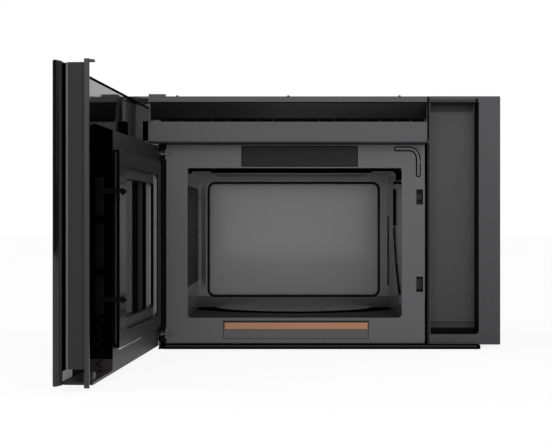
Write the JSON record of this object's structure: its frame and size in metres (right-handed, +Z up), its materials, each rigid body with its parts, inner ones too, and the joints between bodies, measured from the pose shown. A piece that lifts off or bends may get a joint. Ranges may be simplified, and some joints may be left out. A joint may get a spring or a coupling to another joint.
{
  "type": "over the range microwave",
  "caption": "Flush over-the-range microwave oven with a full-width side-hinged door, shown open, with vent rail, cavity, cooktop lamps, filters and inner machinery.",
  "frame": {"origin": "centre of the back panel, on the face that rests on the wall", "axes": "+X to the right seen from the front, +Y towards the wall, +Z up"},
  "size_m": [0.759, 1.0171, 0.4466],
  "materials": {
    "case_steel": "satin",
    "flange_enamel": "satin",
    "cavity_enamel": "satin",
    "zinc_steel": "satin",
    "rail_plastic": "satin",
    "black_plastic": "matte",
    "door_plastic": "gloss",
    "black_glass": "polished",
    "clear_glass": "polished",
    "aluminium": "satin",
    "copper_winding": "satin",
    "board_green": "satin",
    "white_plastic": "matte",
    "plate_film": "satin",
    "rubber": "matte"
  },
  "bodies": {
    "case": {"outer_case": "case_steel", "back_panel": "zinc_steel", "base_pan": "case_steel", "cavity_front": "flange_enamel", "cavity_box": "cavity_enamel", "floor_glass": "black_glass", "ceiling_cover": "black_plastic", "side_cover": "cavity_enamel", "flange_bead": "rail_plastic", "upper_plate": "plate_film", "lower_plate": "plate_film", "vent_rail": "rail_plastic", "vent_grille": "black_plastic", "charcoal_filter": "aluminium", "right_column": "rail_plastic", "pocket_wall": "case_steel", "hinge_brackets": "case_steel", "latch_bracket": "white_plastic", "door_switches": "black_plastic", "waveguide": "zinc_steel", "magnetron": "zinc_steel", "antenna_motor": "zinc_steel", "transformer": "copper_winding", "capacitor": "aluminium", "control_board": "board_green", "line_filter": "board_green", "thermal_cutouts": "black_plastic", "cavity_lamp": "white_plastic", "fan_shroud": "zinc_steel", "fan_motor": "zinc_steel", "blower_housing": "zinc_steel", "blower_motor": "zinc_steel", "damper_frame": "zinc_steel", "lamp_lenses": "clear_glass", "cooktop_lamps": "white_plastic", "cabinet_nuts": "zinc_steel", "cord_grommet": "rubber", "screws": "zinc_steel"},
    "door": {"door_glass": "black_glass", "glass_carrier": "door_plastic", "door_frame": "door_plastic", "end_trim": "rail_plastic", "window_cover": "door_plastic", "window_pane": "black_glass", "window_screen": "zinc_steel", "hinge_leaves": "zinc_steel", "hinge_pins": "zinc_steel", "hook_spring": "zinc_steel", "touch_module": "black_plastic"},
    "latch": {"latch_hooks": "black_plastic"},
    "upper_plunger": {"upper_plunger": "white_plastic"},
    "lower_plunger": {"lower_plunger": "white_plastic"},
    "monitor_plunger": {"monitor_plunger": "white_plastic"},
    "antenna": {"antenna": "aluminium"},
    "cooling_fan": {"cooling_fan": "white_plastic"},
    "blower": {"blower_wheels": "black_plastic"},
    "damper": {"damper_flap": "aluminium"},
    "left_filter": {"left_grease_filter": "aluminium"},
    "right_filter": {"right_grease_filter": "aluminium"}
  },
  "joints": [
    {"name": "door_hinge", "type": "hinge", "parent": "case", "child": "door", "pos_m": [-0.219, -0.42, 0], "axis": [0, 0, 1], "range_deg": [0, 93.4]},
    {"name": "latch_slide", "type": "slide", "parent": "door", "child": "latch", "axis": [0, 0, 1], "range_m": [0, 0.004], "stiffness_N_per_m": 400, "deforming": ["hook_spring"]},
    {"name": "upper_plunger_press", "type": "slide", "parent": "case", "child": "upper_plunger", "axis": [0, 1, 0], "range_m": [0, 0.0025], "stiffness_N_per_m": 300},
    {"name": "lower_plunger_press", "type": "slide", "parent": "case", "child": "lower_plunger", "axis": [0, 1, 0], "range_m": [0, 0.0025], "stiffness_N_per_m": 300},
    {"name": "monitor_plunger_press", "type": "slide", "parent": "case", "child": "monitor_plunger", "axis": [0, 1, 0], "range_m": [0, 0.0025], "stiffness_N_per_m": 300},
    {"name": "antenna_spin", "type": "hinge", "parent": "case", "child": "antenna", "pos_m": [0.01625, -0.2675, -0.20725], "axis": [0, 0, 1], "continuous": true},
    {"name": "cooling_fan_spin", "type": "hinge", "parent": "case", "child": "cooling_fan", "pos_m": [0.3005, -0.056, 0.01075], "axis": [0, 1, 0], "continuous": true},
    {"name": "blower_spin", "type": "hinge", "parent": "case", "child": "blower", "pos_m": [0, -0.0785, 0.14875], "axis": [1, 0, 0], "continuous": true},
    {"name": "damper_hinge", "type": "hinge", "parent": "case", "child": "damper", "pos_m": [0, -0.0507, 0.21685], "axis": [-1, 0, 0], "range_deg": [0, 80]},
    {"name": "left_filter_tilt", "type": "hinge", "parent": "case", "child": "left_filter", "pos_m": [-0.135, -0.018, -0.22325], "axis": [1, 0, 0], "range_deg": [0, 60]},
    {"name": "right_filter_tilt", "type": "hinge", "parent": "case", "child": "right_filter", "pos_m": [0.135, -0.018, -0.22325], "axis": [1, 0, 0], "range_deg": [0, 60]}
  ]
}
